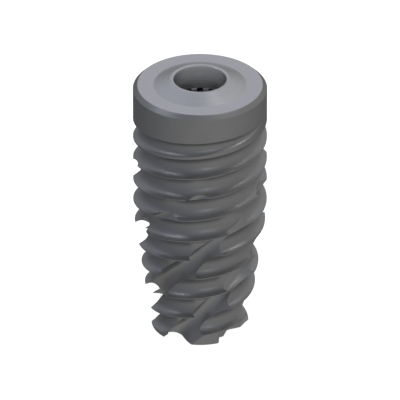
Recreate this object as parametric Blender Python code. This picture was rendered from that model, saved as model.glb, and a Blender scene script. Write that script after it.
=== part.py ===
"""Dental implant, bone level, 4.8 mm by 10 mm: one turned and milled titanium piece.

The implant stands upright on its flat apex. The origin is the centre of the
apex face, +Z runs up the axis to the platform, and the front of the part
faces -Y. All lengths below are in millimetres and are turned into metres
where the mesh is made.
"""
import math

import bmesh
import bpy
from mathutils import Matrix

MM = 0.001

# ---- Driving dimensions, in millimetres -----------------------------------
CREST_R = 2.400          # crest radius of the upper, parallel part
PLATFORM_Z = 9.780       # flat platform ring above the apex face
LIP_Z = 10.024           # top of the raised cone around the bore
RING_R = 2.251           # outer radius of the flat platform ring
CHAMFER = 0.149          # 45 degree chamfer below the ring
CONE_R = 1.656           # foot of the raised cone
LIP_OUT_R = 1.073        # outer edge of the bore's lip
BORE_R = 0.949           # conical bore at its mouth
BORE_BOTTOM_R = 0.826    # conical bore where the socket starts
BORE_DEPTH = 0.873       # below the lip
SOCKET_SLOTS = 12        # indexing slots of the internal connection
SLOT_R = 0.872           # outer radius of the slots
SOCKET_R = 0.800         # radius of the lands between the slots
SOCKET_DEPTH = 2.150     # below the lip
SLOT_W = 0.215           # width of one slot
SLOT_RISE = 0.030        # the slots start this far above the lands' ledge
SCREW_R = 0.625          # core radius of the screw hole
SCREW_DEPTH = 5.900      # below the lip, to the start of the drill point
DRILL_POINT = 0.360      # height of the drill point

PITCH = 0.857            # crest to crest
STARTS = 2               # thread starts, right-hand
LEAD = PITCH * STARTS
CREST_PHASE = 1.665      # first crest below the platform at the front
TAPER_START = 5.120      # below the platform
TAPER_SLOPE = 0.139      # radius lost per length, about 8 degrees

# Tables of (distance below the platform, value), joined by smooth curves.
# Depth and half width of the thread groove, which forms below the collar.
GROOVE_DEPTHS = ((0.95, 0.0), (1.26, 0.160), (1.69, 0.290), (2.16, 0.360),
                 (2.60, 0.370))
GROOVE_HALVES = ((0.94, 0.0), (1.08, 0.147), (1.26, 0.250), (1.58, 0.360),
                 (2.10, 0.402), (2.60, 0.411))
LAST_GROOVE = (9.668, 9.700)   # the groove stops while its middle is here

FLUTES = 4               # helical cutting flutes, right-hand
FLUTE_LEAD = 10.569      # rise of a flute in one turn
FLUTE_PHASE = 5.724      # a flute's cutting edge below the platform, at the front
FLUTE_HOOK = 30.0        # degrees that the cutting side leans over the slot
# Radius of a flute's round bottom, degrees that its other side runs out, and
# its depth below the crest line.
FLUTE_RADII = ((4.70, 0.215), (5.60, 0.360), (7.60, 0.360), (9.78, 0.310))
FLUTE_BACKS = ((4.70, 52.0), (5.60, 30.0), (7.60, 32.0), (9.78, 46.0))
FLUTE_DEPTHS = ((1.70, -0.050), (2.10, 0.010), (2.36, 0.055), (3.38, 0.235),
                (4.28, 0.300), (4.80, 0.345), (5.05, 0.430), (5.30, 0.560),
                (5.60, 0.660), (6.20, 0.710), (7.90, 0.700), (9.78, 0.580),
                (12.40, 0.480))

COLUMNS = 48             # columns of the thread's mesh round the axis
GROOVE_ROWS = 4          # rows of faces in one groove
FLUTE_STEPS = 8          # steps round a flute's bottom


# ---- Rules of the shape ----------------------------------------------------
def lerp(x, x0, x1, y0, y1):
    """Straight run from (x0, y0) to (x1, y1), held at both ends."""
    t = min(1.0, max(0.0, (x - x0) / (x1 - x0)))
    return y0 + (y1 - y0) * t


def crest_radius(s):
    """Crest radius at the distance s below the platform."""
    return CREST_R - TAPER_SLOPE * max(0.0, s - TAPER_START)


def curve(x, points):
    """Smooth curve through the points, level at its two ends."""
    if x <= points[0][0]:
        return points[0][1]
    if x >= points[-1][0]:
        return points[-1][1]
    i = max(k for k in range(len(points) - 1) if points[k][0] <= x)
    (x0, y0), (x1, y1) = points[i], points[i + 1]
    m0 = m1 = 0.0
    if i > 0:
        m0 = (y1 - points[i - 1][1]) / (x1 - points[i - 1][0])
    if i + 2 < len(points):
        m1 = (points[i + 2][1] - y0) / (points[i + 2][0] - x0)
    h, t = x1 - x0, (x - x0) / (x1 - x0)
    return ((2 * t ** 3 - 3 * t ** 2 + 1) * y0 + (t ** 3 - 2 * t ** 2 + t) * h * m0
            + (3 * t ** 2 - 2 * t ** 3) * y1 + (t ** 3 - t ** 2) * h * m1)


def groove_depth(s, middle):
    """Forms under the collar, and stops where its middle nears the apex."""
    return curve(s, GROOVE_DEPTHS) * lerp(middle, *LAST_GROOVE, 1.0, 0.0)


def groove_half(s):
    """Half width of the groove, which opens out as it forms."""
    return curve(s, GROOVE_HALVES)


def flute_depth(s):
    """Depth of a flute below the crest line."""
    return curve(s, FLUTE_DEPTHS)


# ---- Mesh helpers ----------------------------------------------------------
def new_object(name, bm, material=None, cutter=False):
    bmesh.ops.recalc_face_normals(bm, faces=bm.faces)
    if bm.calc_volume(signed=True) < 0.0:
        bmesh.ops.reverse_faces(bm, faces=bm.faces)
    mesh = bpy.data.meshes.new(name)
    bm.to_mesh(mesh)
    bm.free()
    obj = bpy.data.objects.new(name, mesh)
    bpy.context.scene.collection.objects.link(obj)
    if material:
        mesh.materials.append(material)
    if cutter:
        obj.hide_render = True
        obj.display_type = 'WIRE'
    return obj


def turned(name, profile, columns, cutter=True, turn=0.0):
    """Solid turned from a profile of (radius, height), axis to axis."""
    bm = bmesh.new()
    verts = [bm.verts.new((r * MM, 0.0, z * MM)) for r, z in profile]
    edges = [bm.edges.new(pair) for pair in zip(verts, verts[1:])]
    bmesh.ops.spin(bm, geom=verts + edges, cent=(0, 0, 0), axis=(0, 0, 1),
                   angle=math.tau, steps=columns, use_merge=True)
    bmesh.ops.remove_doubles(bm, verts=bm.verts, dist=1e-7)
    bmesh.ops.rotate(bm, verts=bm.verts, cent=(0, 0, 0),
                     matrix=Matrix.Rotation(turn, 3, 'Z'))
    return new_object(name, bm, cutter=cutter)


def cut(target, tool, operation='DIFFERENCE'):
    mod = target.modifiers.new(tool.name, 'BOOLEAN')
    mod.operation = operation
    mod.solver = 'EXACT'
    mod.object = tool


# ---- The threaded blank ----------------------------------------------------
def groove_edges(middle):
    """Where a groove's two edges lie, above and below its middle."""
    up = down = PITCH / 2
    for _ in range(40):
        up += 0.4 * (groove_half(middle - up) - up)
        down = groove_half(middle + down)
    return max(up, 0.06), max(down, 0.06)


def thread_radius(s, v, half):
    """Radius at s below the platform, v from the middle of a groove."""
    deep = groove_depth(s, s - v)
    if abs(v) >= half - 1e-9 or deep <= 1e-4:
        return crest_radius(s)
    big = (half * half + deep * deep) / (2 * deep)
    return crest_radius(s) - max(0.0, math.sqrt(big * big - v * v) - (big - deep))


def pitch_points(crest):
    """Rows of one pitch, from a crest's upper edge down: (place, radius)."""
    above = groove_edges(crest - PITCH / 2)[1]
    up, down = groove_edges(crest + PITCH / 2)
    s = crest - PITCH / 2 + above
    points = [(s, crest_radius(s))]
    middle = crest + PITCH / 2
    points.append((middle - up, crest_radius(middle - up)))
    for i in range(1, GROOVE_ROWS):
        u = 2.0 * i / GROOVE_ROWS - 1.0
        half = up if u < 0 else down
        s = middle + u * half
        points.append((s, thread_radius(s, u * half, half)))
    return points


def threaded_blank(material):
    """Two-start screw surface, closed and faced flat at both ends."""
    rows = GROOVE_ROWS + 1
    per_lead = rows * STARTS
    bm = bmesh.new()
    first = -2.0 * LEAD
    turns = int(math.ceil((PLATFORM_Z + 3.5 * LEAD) / LEAD))
    total = per_lead * turns
    grid = {}
    for column in range(COLUMNS):
        a = math.tau * column / COLUMNS
        for pitch_no in range(STARTS * turns + 1):
            crest = first + CREST_PHASE + pitch_no * PITCH - LEAD * column / COLUMNS
            for k, (s, r) in enumerate(pitch_points(crest)):
                grid[pitch_no * rows + k, column] = bm.verts.new(
                    (r * math.sin(a) * MM, -r * math.cos(a) * MM,
                     (PLATFORM_Z - s) * MM))
    for row in range(total):
        for column in range(COLUMNS):
            if column + 1 < COLUMNS:
                right = ((row + 1, column + 1), (row, column + 1))
            else:
                if row < per_lead:
                    continue
                right = ((row + 1 - per_lead, 0), (row - per_lead, 0))
            quad = [grid[row, column], grid[row + 1, column],
                    grid[right[0]], grid[right[1]]]
            bm.faces.new(quad)
    for z, normal in ((LIP_Z + 0.2, (0, 0, 1)), (0.0, (0, 0, -1))):
        geom = bm.verts[:] + bm.edges[:] + bm.faces[:]
        bmesh.ops.bisect_plane(bm, geom=geom, dist=1e-9,
                               plane_co=(0, 0, z * MM), plane_no=normal,
                               clear_outer=True)
    loose = [v for v in bm.verts if not v.link_faces]
    bmesh.ops.delete(bm, geom=loose, context='VERTS')
    rim = [e for e in bm.edges if e.is_boundary]
    bmesh.ops.edgeloop_fill(bm, edges=rim)
    return new_object('implant_body', bm, material)


# ---- Cutters ---------------------------------------------------------------
def facing_tool():
    """Ring that leaves the platform, the chamfer and the raised cone."""
    top = LIP_Z + 1.0
    chamfer_z = PLATFORM_Z - CHAMFER
    profile = [(0.0, LIP_Z), (LIP_OUT_R, LIP_Z), (CONE_R, PLATFORM_Z),
               (RING_R, PLATFORM_Z), (CREST_R + 0.0005, chamfer_z),
               (CREST_R + 0.6, chamfer_z - 0.6), (CREST_R + 0.6, top), (0.0, top)]
    return turned('facing_tool', profile, COLUMNS)


def bore_tool():
    """Conical seat of the internal connection."""
    top = LIP_Z + 0.5
    flare = (BORE_R - BORE_BOTTOM_R) / BORE_DEPTH
    profile = [(0.0, LIP_Z - BORE_DEPTH), (BORE_BOTTOM_R, LIP_Z - BORE_DEPTH),
               (BORE_R + flare * 0.5, top), (0.0, top)]
    return turned('bore_tool', profile, COLUMNS)


def screw_tool():
    """Screw hole with its drill point."""
    profile = [(0.0, LIP_Z - SCREW_DEPTH - DRILL_POINT),
               (SCREW_R, LIP_Z - SCREW_DEPTH),
               (SCREW_R, LIP_Z - SOCKET_DEPTH + 0.2),
               (0.0, LIP_Z - SOCKET_DEPTH + 0.2)]
    return turned('screw_tool', profile, COLUMNS // 2)


def socket_tool():
    """Twelve-slot socket, extruded from its outline, one slot at the back."""
    bm = bmesh.new()
    half = math.asin(SLOT_W / 2 / SOCKET_R)
    outer = math.asin(SLOT_W / 2 / SLOT_R)
    low = LIP_Z - SOCKET_DEPTH
    outline = []
    for i in range(SOCKET_SLOTS):
        a = math.tau * i / SOCKET_SLOTS
        for r, turn in ((SOCKET_R, -half), (SLOT_R, -outer), (SLOT_R, outer),
                        (SOCKET_R, half)):
            outline.append(bm.verts.new((r * math.sin(a + turn) * MM,
                                         r * math.cos(a + turn) * MM, low * MM)))
    face = bm.faces.new(outline)
    raised = bmesh.ops.extrude_face_region(bm, geom=[face])['geom']
    up = (0, 0, (SOCKET_DEPTH - BORE_DEPTH + SLOT_RISE) * MM)
    bmesh.ops.translate(bm, vec=up,
                        verts=[v for v in raised if isinstance(v, bmesh.types.BMVert)])
    return new_object('socket_tool', bm, cutter=True)


def flute_section(s):
    """Slot section at one place: (drop below the cutting edge, radius)."""
    floor = crest_radius(s) - flute_depth(s)
    round_r = curve(s, FLUTE_RADII)
    mid = floor + round_r
    slope = FLUTE_LEAD / math.tau / max(floor + 0.36, 0.7)
    stretch = math.hypot(1.0, slope)
    hook, back = math.radians(FLUTE_HOOK), math.radians(curve(s, FLUTE_BACKS))
    high = CREST_R + 0.35 - mid
    # the cutting side leans over the slot
    reach = (high - round_r * math.sin(hook)) / math.cos(hook)
    points = [(-round_r * math.cos(hook) + reach * math.sin(hook),
               round_r * math.sin(hook) + reach * math.cos(hook))]
    for i in range(FLUTE_STEPS + 1):
        a = math.pi - hook + (math.pi + hook - back) * i / FLUTE_STEPS
        points.append((round_r * math.cos(a), round_r * math.sin(a)))
    # the other side runs out flat
    reach = (high + round_r * math.sin(back)) / math.cos(back)
    points.append((round_r * math.cos(back) + reach * math.sin(back),
                   -round_r * math.sin(back) + reach * math.cos(back)))
    # measured from the cutting edge on the crest line
    crest = crest_radius(s) - mid
    if crest > round_r * math.sin(hook):
        edge = -round_r * math.cos(hook) + (crest - round_r * math.sin(hook)) * math.tan(hook)
    else:
        edge = -math.sqrt(max(round_r * round_r - crest * crest, 0.0))
    return [((across - edge) * stretch, mid + rise) for across, rise in points]


def flute_tool(index):
    """One flute: the slot section carried along its helix."""
    bm = bmesh.new()
    step = math.radians(9.3)
    start, end = FLUTE_DEPTHS[0][0], PLATFORM_Z + 0.9
    per_step = FLUTE_LEAD * step / math.tau
    count = int(math.ceil((end - start) / per_step))
    rings = []
    for i in range(count + 1):
        s = start + i * per_step
        a = -math.tau * (s - FLUTE_PHASE) / FLUTE_LEAD + math.tau * index / FLUTES
        ring = []
        for drop, r in flute_section(s):
            ring.append(bm.verts.new((r * math.sin(a) * MM, -r * math.cos(a) * MM,
                                      (PLATFORM_Z - s - drop) * MM)))
        rings.append(ring)
    for one, two in zip(rings, rings[1:]):
        for j in range(len(one)):
            k = (j + 1) % len(one)
            bm.faces.new((one[j], one[k], two[k], two[j]))
    bm.faces.new(rings[0])
    bm.faces.new(rings[-1])
    return new_object('flute_tool_%d' % (index + 1), bm, cutter=True)


def titanium():
    mat = bpy.data.materials.new('titanium')
    mat.use_nodes = True
    shader = mat.node_tree.nodes['Principled BSDF']
    shader.inputs['Base Color'].default_value = (0.23, 0.235, 0.245, 1.0)
    shader.inputs['Metallic'].default_value = 1.0
    shader.inputs['Roughness'].default_value = 0.42
    return mat


def main():
    for obj in list(bpy.data.objects):
        bpy.data.objects.remove(obj, do_unlink=True)
    body = threaded_blank(titanium())
    for index in range(FLUTES):
        cut(body, flute_tool(index))
    cut(body, facing_tool())
    cut(body, bore_tool())
    cut(body, socket_tool())
    cut(body, screw_tool())
    body.data.shade_smooth()
    body.data.set_sharp_from_angle(angle=math.radians(32.0))


main()
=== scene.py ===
"""Looks of the dental implant: fine thread, flutes, socket, finishes and studio."""
import math

import bmesh
import bpy
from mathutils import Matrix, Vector


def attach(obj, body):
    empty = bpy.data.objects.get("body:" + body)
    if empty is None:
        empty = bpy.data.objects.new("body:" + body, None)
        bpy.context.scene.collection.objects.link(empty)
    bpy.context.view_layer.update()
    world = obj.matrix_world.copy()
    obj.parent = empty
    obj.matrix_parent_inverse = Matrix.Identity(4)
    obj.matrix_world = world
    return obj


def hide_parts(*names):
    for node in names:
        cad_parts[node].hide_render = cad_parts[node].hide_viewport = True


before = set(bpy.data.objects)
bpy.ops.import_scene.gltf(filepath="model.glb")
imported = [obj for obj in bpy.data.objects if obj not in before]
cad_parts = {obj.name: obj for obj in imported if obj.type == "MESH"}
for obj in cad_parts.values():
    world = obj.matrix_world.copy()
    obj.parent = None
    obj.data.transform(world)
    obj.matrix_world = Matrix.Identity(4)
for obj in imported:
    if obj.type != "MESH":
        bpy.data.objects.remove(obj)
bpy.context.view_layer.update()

MM = 0.001

# ---- Dimensions in millimetres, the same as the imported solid's -------------
CREST_R = 2.400
PLATFORM_Z = 9.780
LIP_Z = 10.024
RING_R = 2.251
CHAMFER = 0.149
CONE_R = 1.656
LIP_OUT_R = 1.073
BORE_R = 0.949
BORE_BOTTOM_R = 0.826
BORE_DEPTH = 0.873
SOCKET_SLOTS = 12
SLOT_R = 0.872
SOCKET_R = 0.800
SOCKET_DEPTH = 2.150
SLOT_W = 0.215
SLOT_RISE = 0.030
SCREW_R = 0.625
SCREW_MAJOR_R = 0.745
SCREW_PITCH = 0.350
SCREW_DEPTH = 5.900
DRILL_POINT = 0.360

PITCH = 0.857
STARTS = 2
LEAD = PITCH * STARTS
CREST_PHASE = 1.665
GROOVE_DEPTHS = ((0.95, 0.0), (1.26, 0.160), (1.69, 0.290), (2.16, 0.360), (2.60, 0.370))
GROOVE_HALVES = ((0.94, 0.0), (1.08, 0.147), (1.26, 0.250), (1.58, 0.360),
                 (2.10, 0.402), (2.60, 0.411))
LAST_GROOVE = (9.668, 9.700)
TAPER_START = 5.120
TAPER_SLOPE = 0.139

FLUTES = 4
FLUTE_LEAD = 10.569
FLUTE_PHASE = 5.724
FLUTE_HOOK = 30.0
FLUTE_RADII = ((4.70, 0.215), (5.60, 0.360), (7.60, 0.360), (9.78, 0.310))
FLUTE_BACKS = ((4.70, 52.0), (5.60, 30.0), (7.60, 32.0), (9.78, 46.0))
FLUTE_DEPTHS = ((1.70, -0.050), (2.10, 0.010), (2.36, 0.055), (3.38, 0.235),
                (4.28, 0.300), (4.80, 0.345), (5.05, 0.430), (5.30, 0.560),
                (5.60, 0.660), (6.20, 0.710), (7.90, 0.700), (9.78, 0.580),
                (12.40, 0.480))

COLUMNS = 240
GROOVE_ROWS = 14
FLUTE_STEPS = 16


# ---- Rules of the shape ----------------------------------------------------
def lerp(x, x0, x1, y0, y1):
    t = min(1.0, max(0.0, (x - x0) / (x1 - x0)))
    return y0 + (y1 - y0) * t


def crest_radius(s):
    return CREST_R - TAPER_SLOPE * max(0.0, s - TAPER_START)


def curve(x, points):
    """Smooth curve through the points, level at its two ends."""
    if x <= points[0][0]:
        return points[0][1]
    if x >= points[-1][0]:
        return points[-1][1]
    i = max(k for k in range(len(points) - 1) if points[k][0] <= x)
    (x0, y0), (x1, y1) = points[i], points[i + 1]
    m0 = m1 = 0.0
    if i > 0:
        m0 = (y1 - points[i - 1][1]) / (x1 - points[i - 1][0])
    if i + 2 < len(points):
        m1 = (points[i + 2][1] - y0) / (points[i + 2][0] - x0)
    h, t = x1 - x0, (x - x0) / (x1 - x0)
    return ((2 * t ** 3 - 3 * t ** 2 + 1) * y0 + (t ** 3 - 2 * t ** 2 + t) * h * m0
            + (3 * t ** 2 - 2 * t ** 3) * y1 + (t ** 3 - t ** 2) * h * m1)


def groove_depth(s, middle):
    """Forms under the collar, and stops where its middle nears the apex."""
    return curve(s, GROOVE_DEPTHS) * lerp(middle, *LAST_GROOVE, 1.0, 0.0)


def groove_half(s):
    return curve(s, GROOVE_HALVES)


def flute_depth(s):
    return curve(s, FLUTE_DEPTHS)


# ---- Mesh helpers ----------------------------------------------------------
def new_object(name, bm):
    bmesh.ops.recalc_face_normals(bm, faces=bm.faces)
    if bm.calc_volume(signed=True) < 0.0:
        bmesh.ops.reverse_faces(bm, faces=bm.faces)
    mesh = bpy.data.meshes.new(name)
    bm.to_mesh(mesh)
    bm.free()
    obj = bpy.data.objects.new(name, mesh)
    bpy.context.scene.collection.objects.link(obj)
    return obj


def turned(name, profile, columns):
    """Solid turned from a profile of (radius, height), axis to axis."""
    bm = bmesh.new()
    rings = []
    for r, z in profile:
        if r < 1e-6:
            rings.append([bm.verts.new((0.0, 0.0, z * MM))])
            continue
        rings.append([bm.verts.new((r * math.sin(math.tau * k / columns) * MM,
                                    -r * math.cos(math.tau * k / columns) * MM,
                                    z * MM)) for k in range(columns)])
    for one, two in zip(rings, rings[1:]):
        for k in range(columns):
            j = (k + 1) % columns
            corners = [one[k % len(one)], one[j % len(one)],
                       two[j % len(two)], two[k % len(two)]]
            face = []
            for v in corners:
                if v not in face:
                    face.append(v)
            if len(face) > 2:
                bm.faces.new(face)
    return new_object(name, bm)


def arc(cx, cz, r, start, end, steps):
    """Points of an arc in the turned profile's plane, in degrees."""
    out = []
    for i in range(steps + 1):
        a = math.radians(start + (end - start) * i / steps)
        out.append((cx + r * math.cos(a), cz + r * math.sin(a)))
    return out


def boolean(target, tool, finish, operation='DIFFERENCE', solver='MANIFOLD'):
    """Cut now, leave the cutter's finish on the new faces, and remove it."""
    for mat in target.data.materials:
        tool.data.materials.append(mat)
    for poly in tool.data.polygons:
        poly.material_index = finish(poly) if callable(finish) else finish
    mod = target.modifiers.new(tool.name, 'BOOLEAN')
    mod.operation = operation
    mod.solver = solver
    mod.object = tool
    deps = bpy.context.evaluated_depsgraph_get()
    deps.update()
    mesh = bpy.data.meshes.new_from_object(target.evaluated_get(deps))
    target.modifiers.clear()
    old = target.data
    target.data = mesh
    bpy.data.meshes.remove(old)
    bpy.data.objects.remove(tool, do_unlink=True)


# ---- The threaded body -----------------------------------------------------
def groove_edges(middle):
    """Where a groove's two edges lie, above and below its middle."""
    up = down = PITCH / 2
    for _ in range(40):
        up += 0.4 * (groove_half(middle - up) - up)
        down = groove_half(middle + down)
    return max(up, 0.06), max(down, 0.06)


def groove_steps():
    steps = []
    for i in range(1, GROOVE_ROWS):
        # rows crowd towards the groove's edges, where the arc is steep
        u = 2.0 * i / GROOVE_ROWS - 1.0
        steps.append(0.55 * u + 0.45 * math.sin(math.pi * u / 2))
    return steps


def thread_radius(s, v, half):
    """Radius at s below the platform, v from the middle of a groove."""
    deep = groove_depth(s, s - v)
    if abs(v) >= half - 1e-9 or deep <= 1e-4:
        return crest_radius(s)
    big = (half * half + deep * deep) / (2 * deep)
    return crest_radius(s) - max(0.0, math.sqrt(big * big - v * v) - (big - deep))


def pitch_points(crest):
    """Rows of one pitch, from a crest's upper edge down: (place, radius)."""
    above = groove_edges(crest - PITCH / 2)[1]
    up, down = groove_edges(crest + PITCH / 2)
    s = crest - PITCH / 2 + above
    points = [(s, crest_radius(s))]
    middle = crest + PITCH / 2
    points.append((middle - up, crest_radius(middle - up)))
    for u in groove_steps():
        half = up if u < 0 else down
        s = middle + u * half
        points.append((s, thread_radius(s, u * half, half)))
    return points


def threaded_blank(name):
    rows = GROOVE_ROWS + 1
    per_lead = rows * STARTS
    first = -2.0 * LEAD
    turns = int(math.ceil((PLATFORM_Z + 3.5 * LEAD) / LEAD))
    total = per_lead * turns
    verts = [None] * ((total + rows) * COLUMNS)
    faces = []
    for column in range(COLUMNS):
        sn = math.sin(math.tau * column / COLUMNS)
        cs = math.cos(math.tau * column / COLUMNS)
        for pitch_no in range(STARTS * turns + 1):
            crest = first + CREST_PHASE + pitch_no * PITCH - LEAD * column / COLUMNS
            for k, (s, r) in enumerate(pitch_points(crest)):
                verts[(pitch_no * rows + k) * COLUMNS + column] = (
                    r * sn * MM, -r * cs * MM, (PLATFORM_Z - s) * MM)
    for row in range(total):
        for column in range(COLUMNS):
            a = row * COLUMNS + column
            b = a + COLUMNS
            if column + 1 < COLUMNS:
                faces.append((a, b, b + 1, a + 1))
            elif row >= per_lead:
                c = (row - per_lead) * COLUMNS
                faces.append((a, b, c + COLUMNS, c))
    mesh = bpy.data.meshes.new(name)
    mesh.from_pydata(verts, [], faces)
    bm = bmesh.new()
    bm.from_mesh(mesh)
    bpy.data.meshes.remove(mesh)
    for z, normal in ((LIP_Z + 0.2, (0, 0, 1)), (0.0, (0, 0, -1))):
        geom = bm.verts[:] + bm.edges[:] + bm.faces[:]
        bmesh.ops.bisect_plane(bm, geom=geom, dist=1e-9,
                               plane_co=(0, 0, z * MM), plane_no=normal,
                               clear_outer=True)
    loose = [v for v in bm.verts if not v.link_faces]
    bmesh.ops.delete(bm, geom=loose, context='VERTS')
    rim = [e for e in bm.edges if e.is_boundary]
    bmesh.ops.edgeloop_fill(bm, edges=rim)
    return new_object(name, bm)


# ---- Cutters ---------------------------------------------------------------
def along(t, one, two):
    return (lerp(t, 0.0, 1.0, one[0], two[0]), lerp(t, 0.0, 1.0, one[1], two[1]))


def facing_tool():
    """Leaves the platform, the chamfer, the raised cone and its rounded lip."""
    top = LIP_Z + 1.0
    chamfer_z = PLATFORM_Z - CHAMFER
    slope = math.degrees(math.atan2(LIP_Z - PLATFORM_Z, CONE_R - LIP_OUT_R))
    round_r = 0.045
    lip_in = [(0.0, LIP_Z), (LIP_OUT_R - 0.02, LIP_Z)]
    outer = arc(LIP_OUT_R - 0.02, LIP_Z - round_r, round_r, 90.0, 90.0 - slope, 5)
    edge = 0.012
    profile = lip_in + outer[1:] + [
        along(0.06, outer[-1], (CONE_R, PLATFORM_Z)),
        along(0.94, outer[-1], (CONE_R, PLATFORM_Z)),
        (CONE_R, PLATFORM_Z), (RING_R - edge, PLATFORM_Z),
        (RING_R - edge * 0.2, PLATFORM_Z - edge * 0.35),
        (RING_R + edge * 0.7, PLATFORM_Z - edge * 1.1),
        (CREST_R + 0.0005, chamfer_z),
        (CREST_R + 0.6, chamfer_z - 0.6), (CREST_R + 0.6, top), (0.0, top)]
    return turned('facing_tool', profile, COLUMNS)


def bore_tool():
    """Conical seat, with the rounded inner edge of the lip."""
    top = LIP_Z + 0.5
    flare = (BORE_R - BORE_BOTTOM_R) / BORE_DEPTH
    profile = [(0.0, LIP_Z - BORE_DEPTH), (BORE_BOTTOM_R, LIP_Z - BORE_DEPTH),
               (BORE_BOTTOM_R + flare * 0.04, LIP_Z - BORE_DEPTH + 0.04),
               (BORE_R - flare * 0.060, LIP_Z - 0.060),
               (BORE_R - flare * 0.035, LIP_Z - 0.035),
               (BORE_R + 0.002, LIP_Z - 0.018),
               (BORE_R + 0.016, LIP_Z - 0.004),
               (BORE_R + 0.045, LIP_Z + 0.004),
               (BORE_R + 0.045, top), (0.0, top)]
    return turned('bore_tool', profile, COLUMNS)


def screw_tool():
    """Screw hole with its thread and drill point."""
    steps, rows = 72, 6
    low, high = LIP_Z - SCREW_DEPTH, LIP_Z - SOCKET_DEPTH + 0.2
    turns = int((high - low) / SCREW_PITCH) + 3
    bm = bmesh.new()
    grid = {}
    for row in range(rows * turns + 1):
        for c in range(steps):
            z = low - SCREW_PITCH + SCREW_PITCH * (row / rows + c / steps)
            u = (row % rows) / rows
            tooth = max(0.0, min(1.0, 1.25 - abs(u - 0.5) * 3.2))
            end = lerp(z, low, low + 0.3, 0.0, 1.0) * lerp(z, high - 0.35, high - 0.2, 1.0, 0.0)
            r = SCREW_R + (SCREW_MAJOR_R - SCREW_R) * tooth * end
            a = math.tau * c / steps
            grid[row, c] = bm.verts.new((r * math.sin(a) * MM, -r * math.cos(a) * MM, z * MM))
    for row in range(rows * turns):
        for c in range(steps):
            if c + 1 < steps:
                quad = (grid[row, c], grid[row + 1, c], grid[row + 1, c + 1], grid[row, c + 1])
            elif row + 1 + rows <= rows * turns:
                quad = (grid[row, c], grid[row + 1, c], grid[row + 1 + rows, 0], grid[row + rows, 0])
            else:
                continue
            bm.faces.new(quad)
    for z, normal in ((high, (0, 0, 1)), (low, (0, 0, -1))):
        geom = bm.verts[:] + bm.edges[:] + bm.faces[:]
        bmesh.ops.bisect_plane(bm, geom=geom, dist=1e-9, plane_co=(0, 0, z * MM),
                               plane_no=normal, clear_outer=True)
    bmesh.ops.delete(bm, geom=[v for v in bm.verts if not v.link_faces], context='VERTS')
    lower = [e for e in bm.edges if e.is_boundary and e.verts[0].co.z < (low + 0.1) * MM]
    upper = [e for e in bm.edges if e.is_boundary and e.verts[0].co.z > (low + 0.1) * MM]
    bmesh.ops.edgeloop_fill(bm, edges=upper)
    tip = bm.verts.new((0.0, 0.0, (low - DRILL_POINT) * MM))
    for e in lower:
        bm.faces.new((e.verts[0], e.verts[1], tip))
    return new_object('screw_tool', bm)


def socket_tool():
    """Twelve-slot socket, extruded from its outline, one slot at the back."""
    bm = bmesh.new()
    half = math.asin(SLOT_W / 2 / SOCKET_R)
    outer = math.asin(SLOT_W / 2 / SLOT_R)
    low = LIP_Z - SOCKET_DEPTH
    outline = []
    period = math.tau / SOCKET_SLOTS
    for i in range(SOCKET_SLOTS):
        a = period * i
        points = [(SOCKET_R, -half), (SLOT_R, -outer), (SLOT_R, 0.0), (SLOT_R, outer),
                  (SOCKET_R, half)]
        for k in range(1, 4):
            points.append((SOCKET_R, half + (period - 2 * half) * k / 4))
        for r, turn in points:
            outline.append(bm.verts.new((r * math.sin(a + turn) * MM,
                                         r * math.cos(a + turn) * MM, low * MM)))
    face = bm.faces.new(outline)
    raised = bmesh.ops.extrude_face_region(bm, geom=[face])['geom']
    up = (0, 0, (SOCKET_DEPTH - BORE_DEPTH + SLOT_RISE) * MM)
    bmesh.ops.translate(bm, vec=up,
                        verts=[v for v in raised if isinstance(v, bmesh.types.BMVert)])
    return new_object('socket_tool', bm)


def flute_section(s):
    """Slot section at one place: (drop below the cutting edge, radius)."""
    floor = crest_radius(s) - flute_depth(s)
    round_r = curve(s, FLUTE_RADII)
    mid = floor + round_r
    slope = FLUTE_LEAD / math.tau / max(floor + 0.36, 0.7)
    stretch = math.hypot(1.0, slope)
    hook, back = math.radians(FLUTE_HOOK), math.radians(curve(s, FLUTE_BACKS))
    high = CREST_R + 0.35 - mid
    points = []
    # the cutting side leans over the slot
    reach = (high - round_r * math.sin(hook)) / math.cos(hook)
    for k in (1.0, 0.5):
        points.append((-round_r * math.cos(hook) + k * reach * math.sin(hook),
                       round_r * math.sin(hook) + k * reach * math.cos(hook)))
    for i in range(FLUTE_STEPS + 1):
        a = math.pi - hook + (math.pi + hook - back) * i / FLUTE_STEPS
        points.append((round_r * math.cos(a), round_r * math.sin(a)))
    # the other side runs out flat
    reach = (high + round_r * math.sin(back)) / math.cos(back)
    for k in (0.5, 1.0):
        points.append((round_r * math.cos(back) + k * reach * math.sin(back),
                       -round_r * math.sin(back) + k * reach * math.cos(back)))
    # measured from the cutting edge on the crest line
    crest = crest_radius(s) - mid
    if crest > round_r * math.sin(hook):
        edge = -round_r * math.cos(hook) + (crest - round_r * math.sin(hook)) * math.tan(hook)
    else:
        edge = -math.sqrt(max(round_r * round_r - crest * crest, 0.0))
    return [((across - edge) * stretch, mid + rise) for across, rise in points]


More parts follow.
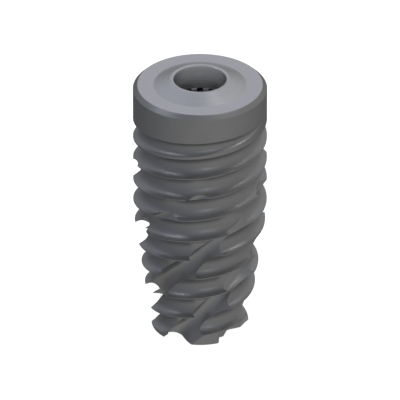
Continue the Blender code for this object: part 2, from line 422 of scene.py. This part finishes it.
def flute_tool(index):
    """One flute: the slot section carried along its helix."""
    bm = bmesh.new()
    step = math.radians(2.7)
    start, end = FLUTE_DEPTHS[0][0], PLATFORM_Z + 0.9
    per_step = FLUTE_LEAD * step / math.tau
    count = int(math.ceil((end - start) / per_step))
    rings = []
    for i in range(count + 1):
        s = start + i * per_step
        a = -math.tau * (s - FLUTE_PHASE) / FLUTE_LEAD + math.tau * index / FLUTES
        ring = []
        for drop, r in flute_section(s):
            ring.append(bm.verts.new((r * math.sin(a) * MM, -r * math.cos(a) * MM,
                                      (PLATFORM_Z - s - drop) * MM)))
        rings.append(ring)
    for one, two in zip(rings, rings[1:]):
        for j in range(len(one)):
            k = (j + 1) % len(one)
            bm.faces.new((one[j], one[k], two[k], two[j]))
    bm.faces.new(rings[0])
    bm.faces.new(rings[-1])
    return new_object('flute_tool_%d' % (index + 1), bm)


# ---- Materials -------------------------------------------------------------
def blank_material(name):
    mat = bpy.data.materials.new(name)
    mat.use_nodes = True
    nt = mat.node_tree
    nt.nodes.clear()
    out = nt.nodes.new('ShaderNodeOutputMaterial')
    bsdf = nt.nodes.new('ShaderNodeBsdfPrincipled')
    nt.links.new(bsdf.outputs['BSDF'], out.inputs['Surface'])
    return mat, nt, bsdf


def ramp(nt, source, stops):
    node = nt.nodes.new('ShaderNodeValToRGB')
    els = node.color_ramp.elements
    while len(els) < len(stops):
        els.new(0.5)
    for el, (pos, col) in zip(els, stops):
        el.position = pos
        el.color = (*col, 1.0) if len(col) == 3 else col
    nt.links.new(source, node.inputs['Fac'])
    return node


def noise(nt, coords, scale, detail=3.0, rough=0.5):
    node = nt.nodes.new('ShaderNodeTexNoise')
    node.inputs['Scale'].default_value = scale
    node.inputs['Detail'].default_value = detail
    node.inputs['Roughness'].default_value = rough
    nt.links.new(coords, node.inputs['Vector'])
    return node


def add_bump(nt, bsdf, height, strength, distance):
    bump = nt.nodes.new('ShaderNodeBump')
    bump.inputs['Strength'].default_value = strength
    bump.inputs['Distance'].default_value = distance
    nt.links.new(height, bump.inputs['Height'])
    nt.links.new(bump.outputs['Normal'], bsdf.inputs['Normal'])


def ring_coords(nt, obj):
    """Radius and height, so that marks ring the axis everywhere."""
    sep = nt.nodes.new('ShaderNodeSeparateXYZ')
    nt.links.new(obj, sep.inputs['Vector'])
    flat = nt.nodes.new('ShaderNodeCombineXYZ')
    nt.links.new(sep.outputs['X'], flat.inputs['X'])
    nt.links.new(sep.outputs['Y'], flat.inputs['Y'])
    rad = nt.nodes.new('ShaderNodeVectorMath')
    rad.operation = 'LENGTH'
    nt.links.new(flat.outputs['Vector'], rad.inputs[0])
    line = nt.nodes.new('ShaderNodeCombineXYZ')
    nt.links.new(rad.outputs['Value'], line.inputs['X'])
    nt.links.new(sep.outputs['Z'], line.inputs['Y'])
    return line.outputs['Vector']


def metal(name, tones, roughs, grain_scale, bump_strength, bump_distance, rings=False):
    """Metal with a clouded tone and a fine grain, or fine turning marks."""
    mat, nt, bsdf = blank_material(name)
    obj = nt.nodes.new('ShaderNodeTexCoord').outputs['Object']
    bsdf.inputs['Metallic'].default_value = 1.0
    cloud = noise(nt, obj, 900.0, 4.0, 0.6)
    tone = ramp(nt, cloud.outputs['Fac'], [(0.30, tones[0]), (0.70, tones[1])])
    nt.links.new(tone.outputs['Color'], bsdf.inputs['Base Color'])
    grain = noise(nt, ring_coords(nt, obj) if rings else obj, grain_scale, 3.0, 0.6)
    rough = ramp(nt, grain.outputs['Fac'], [(0.3, (roughs[0],) * 3), (0.7, (roughs[1],) * 3)])
    nt.links.new(rough.outputs['Color'], bsdf.inputs['Roughness'])
    add_bump(nt, bsdf, grain.outputs['Fac'], bump_strength, bump_distance)
    return mat, nt, bsdf


def blasted_titanium():
    """Blasted and etched: matt grey, finely pitted."""
    return metal('blasted_titanium', ((0.450, 0.451, 0.454), (0.490, 0.491, 0.494)),
                 (0.37, 0.45), 26000.0, 0.22, 0.000004)[0]


def milled_titanium():
    """Milled flutes: a little brighter and smoother than the thread."""
    return metal('milled_titanium', ((0.480, 0.480, 0.482), (0.520, 0.520, 0.522)),
                 (0.30, 0.38), 30000.0, 0.15, 0.000003)[0]


def satin_titanium():
    """Fine satin finish of the platform."""
    return metal('satin_titanium', ((0.850, 0.844, 0.870), (0.890, 0.884, 0.910)),
                 (0.36, 0.44), 45000.0, 0.10, 0.000002)[0]


def turned_titanium(name, tones, roughs, rings, spread):
    """Turned faces: bright, and stretched glints across their turning marks."""
    mat, nt, bsdf = metal(name, tones, roughs, 42000.0, rings, 0.0000010, rings=True)
    bsdf.inputs['Anisotropic'].default_value = spread
    bsdf.inputs['Anisotropic Rotation'].default_value = 0.25
    tangent = nt.nodes.new('ShaderNodeTangent')
    tangent.direction_type = 'RADIAL'
    tangent.axis = 'Z'
    nt.links.new(tangent.outputs['Tangent'], bsdf.inputs['Tangent'])
    return mat


def cone_titanium():
    return turned_titanium('cone_titanium', ((0.77, 0.77, 0.78), (0.83, 0.83, 0.84)),
                           (0.26, 0.32), 0.05, 0.25)


def bore_titanium():
    return turned_titanium('bore_titanium', ((0.90, 0.90, 0.90), (0.96, 0.96, 0.96)),
                           (0.26, 0.32), 0.03, 0.30)


def socket_painted_shade():
    """Broached slots of the socket: dull, and painted dark as painted shade for the shadow inside
    them.
    """
    return metal('socket_painted_shade', ((0.10, 0.10, 0.10), (0.14, 0.14, 0.14)),
                 (0.38, 0.46), 26000.0, 0.15, 0.000003)[0]


# ---- Build the implant -----------------------------------------------------
# the last finish is the socket slots' painted shade
BLASTED, MILLED, SATIN, TURNED, BORE, SOCKET_SHADE = range(6)


def facing_finish(poly):
    if abs(poly.normal.z) > 0.999 and poly.center.z < (PLATFORM_Z + 0.01) * MM:
        return SATIN
    inner = math.hypot(poly.center.x, poly.center.y) < (CONE_R + 0.02) * MM
    return TURNED if inner else BLASTED


# slot faces get the painted shade of the socket, the rest the bore's finish
def slot_shade_or_bore_finish(poly):
    slot = math.hypot(poly.center.x, poly.center.y) > (SOCKET_R + 0.01) * MM
    return SOCKET_SHADE if slot else BORE


body = threaded_blank('implant_fine')
for finish in (blasted_titanium(), milled_titanium(), satin_titanium(),
               cone_titanium(), bore_titanium(), socket_painted_shade()):
    body.data.materials.append(finish)
for number in range(FLUTES):
    boolean(body, flute_tool(number), MILLED)
boolean(body, facing_tool(), facing_finish)
boolean(body, bore_tool(), BORE)
boolean(body, socket_tool(), slot_shade_or_bore_finish)
boolean(body, screw_tool(), BORE)
body.data.shade_smooth()
body.data.set_sharp_from_angle(angle=math.radians(21.0))
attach(body, "root")
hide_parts("implant_body")

# ---- Floor -----------------------------------------------------------------
bm = bmesh.new()
bmesh.ops.create_grid(bm, x_segments=2, y_segments=2, size=0.25)
floor = new_object('studio_floor', bm)
floor.location.z = -0.002 * MM
mat, nt, bsdf = blank_material('studio_floor')
bsdf.inputs['Base Color'].default_value = (0.93, 0.93, 0.93, 1.0)
bsdf.inputs['Roughness'].default_value = 0.9
bsdf.inputs['Emission Color'].default_value = (1.0, 1.0, 1.0, 1.0)
bsdf.inputs['Emission Strength'].default_value = 0.86
floor.data.materials.append(mat)
floor.visible_glossy = False

# ---- Studio light ----------------------------------------------------------
ROOM, ROOM_X, ROOM_Y, ROOM_Z, ROOM_YZ = 0.237, 0.050, -0.044, 0.027, 0.112
ROOM_LOW, ROOM_BACK = 0.25, 0.35
world = bpy.data.worlds.new('studio')
bpy.context.scene.world = world
world.use_nodes = True
wt = world.node_tree
wt.nodes.clear()
wout = wt.nodes.new('ShaderNodeOutputWorld')
wbg = wt.nodes.new('ShaderNodeBackground')
wtc = wt.nodes.new('ShaderNodeTexCoord')
wsep = wt.nodes.new('ShaderNodeSeparateXYZ')
wt.links.new(wtc.outputs['Generated'], wsep.inputs['Vector'])


def world_math(operation, one, two, three=None):
    node = wt.nodes.new('ShaderNodeMath')
    node.operation = operation
    for i, value in enumerate((one, two, three)):
        if value is None:
            continue
        if isinstance(value, float):
            node.inputs[i].default_value = value
        else:
            wt.links.new(value, node.inputs[i])
    return node.outputs[0]


# soft room: brighter in front and on the right, darkest low down at the back
wx, wy, wz = (wsep.outputs[k] for k in 'XYZ')
room = world_math('MULTIPLY_ADD', wx, ROOM_X, ROOM)
room = world_math('MULTIPLY_ADD', wy, ROOM_Y, room)
room = world_math('MULTIPLY_ADD', wz, ROOM_Z, room)
room = world_math('MULTIPLY_ADD', world_math('MULTIPLY', wy, wz), ROOM_YZ, room)
low = world_math('MAXIMUM', world_math('MULTIPLY_ADD', wz, -1.0, -0.6), 0.0)
room = world_math('MULTIPLY_ADD', low, ROOM_LOW, room)
back = world_math('MULTIPLY', world_math('MAXIMUM', wy, 0.0), world_math('MAXIMUM', wz, 0.0))
room = world_math('MULTIPLY_ADD', back, ROOM_BACK, room)
wt.links.new(world_math('MAXIMUM', room, 0.02), wbg.inputs['Strength'])
side = world_math('MULTIPLY_ADD', wz, 0.30, world_math('MULTIPLY_ADD', wx, -0.30, 0.5))
wramp = wt.nodes.new('ShaderNodeValToRGB')
wt.links.new(side, wramp.inputs['Fac'])
els = wramp.color_ramp.elements
els[0].position, els[0].color = 0.45, (1.0, 1.0, 0.985, 1.0)
els[1].position, els[1].color = 0.85, (0.93, 0.97, 1.10, 1.0)
wt.links.new(wramp.outputs['Color'], wbg.inputs['Color'])
wt.links.new(wbg.outputs['Background'], wout.inputs['Surface'])

AIM = Vector((0.0, 0.0, 0.005))


def softbox(name, azimuth, elevation, distance, size_x, size_y, power, color=(1, 1, 1)):
    """Area light; azimuth from the front (-Y) towards +X, in degrees."""
    light = bpy.data.lights.new(name, 'AREA')
    light.shape = 'RECTANGLE'
    light.size = size_x
    light.size_y = size_y
    light.energy = power
    light.color = color
    obj = bpy.data.objects.new(name, light)
    bpy.context.scene.collection.objects.link(obj)
    a, e = math.radians(azimuth), math.radians(elevation)
    way = Vector((math.sin(a) * math.cos(e), -math.cos(a) * math.cos(e), math.sin(e)))
    obj.location = AIM + way * distance
    obj.rotation_euler = (-way).to_track_quat('-Z', 'Y').to_euler()
    obj.visible_camera = False
    return obj


softbox('camera_fill', 4.0, 34.0, 0.30, 0.050, 0.050, 0.016)
softbox('top_right', 90.0, 70.0, 0.14, 0.020, 0.020, 0.008)
softbox('top_left', -90.0, 55.0, 0.14, 0.020, 0.020, 0.006, (0.88, 0.94, 1.0))

# ---- Camera ----------------------------------------------------------------
ELEVATION = math.radians(29.87)
SHOWN = 400.0 / 27.83 * MM          # width of the frame at the axis
LENS = 1000.0
cam_data = bpy.data.cameras.new('camera')
cam_data.lens = LENS
cam_data.sensor_width = 36.0
cam = bpy.data.objects.new('camera', cam_data)
bpy.context.scene.collection.objects.link(cam)
distance = SHOWN * LENS / 36.0
look = Vector((0.0, 0.0, 0.005018))
away = Vector((0.0, -math.cos(ELEVATION), math.sin(ELEVATION)))
cam.location = look + away * distance
cam.rotation_euler = (math.pi / 2 - ELEVATION, 0.0, 0.0)
cam_data.clip_start = 0.01
cam_data.clip_end = 10.0
bpy.context.scene.camera = cam
bpy.context.scene.view_settings.view_transform = 'Standard'
bpy.context.scene.view_settings.look = 'None'
